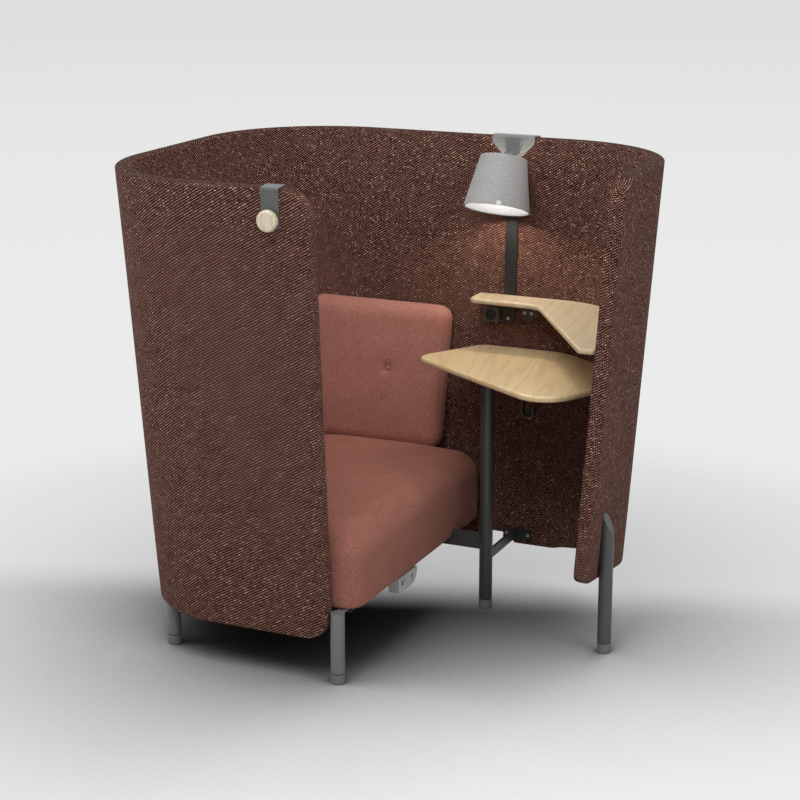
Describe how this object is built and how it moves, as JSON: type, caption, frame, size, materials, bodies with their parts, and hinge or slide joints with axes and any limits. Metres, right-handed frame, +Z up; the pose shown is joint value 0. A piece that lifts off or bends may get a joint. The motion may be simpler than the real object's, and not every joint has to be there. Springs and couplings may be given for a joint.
{
  "type": "acoustic high back lounge chair",
  "caption": "High-backed upholstered pod seat for focus work: curved flared screen, seat with cushions, side table, corner shelf and a tilting clip-on lamp.",
  "frame": {"origin": "on the floor, under the middle of the screen's rim", "axes": "+X along the back wall, away from the seat's back cushion and toward the entry wall; +Y from the front wall to the back wall; +Z up"},
  "size_m": [1.422, 1.2144, 1.3871],
  "materials": {
    "screen_fabric": "melange wool-blend upholstery",
    "seat_fabric": "wool upholstery",
    "frame_steel": "fine-textured powder coat",
    "plate_steel": "fine-textured powder coat",
    "zinc_steel": "zinc plated",
    "maple": "clear matt lacquer",
    "plywood": "raw",
    "felt": "pressed felt",
    "white_liner": "matt",
    "opal_bulb": "opal",
    "dark_plastic": "fine texture",
    "grey_plastic": "fine texture"
  },
  "bodies": {
    "base": {"screen_shell": "screen_fabric", "leg_front_left": "frame_steel", "leg_rear_left": "frame_steel", "leg_seat_front": "frame_steel", "leg_table": "frame_steel", "leg_entry": "frame_steel", "leg_feet": "dark_plastic", "rail_left": "frame_steel", "rail_front": "frame_steel", "rail_right": "frame_steel", "rail_cross": "frame_steel", "leg_gussets": "frame_steel", "seat_leg_plate": "frame_steel", "screen_brackets": "frame_steel", "stay_plate": "frame_steel", "stay_bar": "frame_steel", "entry_plate": "frame_steel", "entry_bolts": "zinc_steel", "seat_cushion": "seat_fabric", "seat_board": "plywood", "side_cushion": "seat_fabric", "side_cushion_button": "seat_fabric", "back_cushion": "seat_fabric", "back_cushion_button": "seat_fabric", "table_top": "maple", "table_flange": "frame_steel", "table_brackets": "frame_steel", "shelf": "maple", "shelf_brackets": "frame_steel", "board_screws": "zinc_steel", "wall_screws": "zinc_steel", "lamp_clip": "plate_steel", "lamp_pin": "zinc_steel", "lamp_strap": "frame_steel", "socket_box": "dark_plastic", "socket_insert": "grey_plastic", "power_unit": "grey_plastic", "power_angle": "frame_steel", "coat_hook": "plate_steel", "coat_knob": "maple", "bag_hook": "frame_steel"},
    "shade": {"lamp_spider": "plate_steel", "lamp_holder": "dark_plastic", "lamp_bulb": "opal_bulb", "shade_felt": "felt", "shade_liner": "white_liner", "shade_tab": "dark_plastic"}
  },
  "joints": [
    {"name": "shade_tilt", "type": "hinge", "parent": "base", "child": "shade", "pos_m": [0.154, 0.46282, 1.322], "axis": [-1, 0, 0], "range_deg": [-5, 20]}
  ]
}
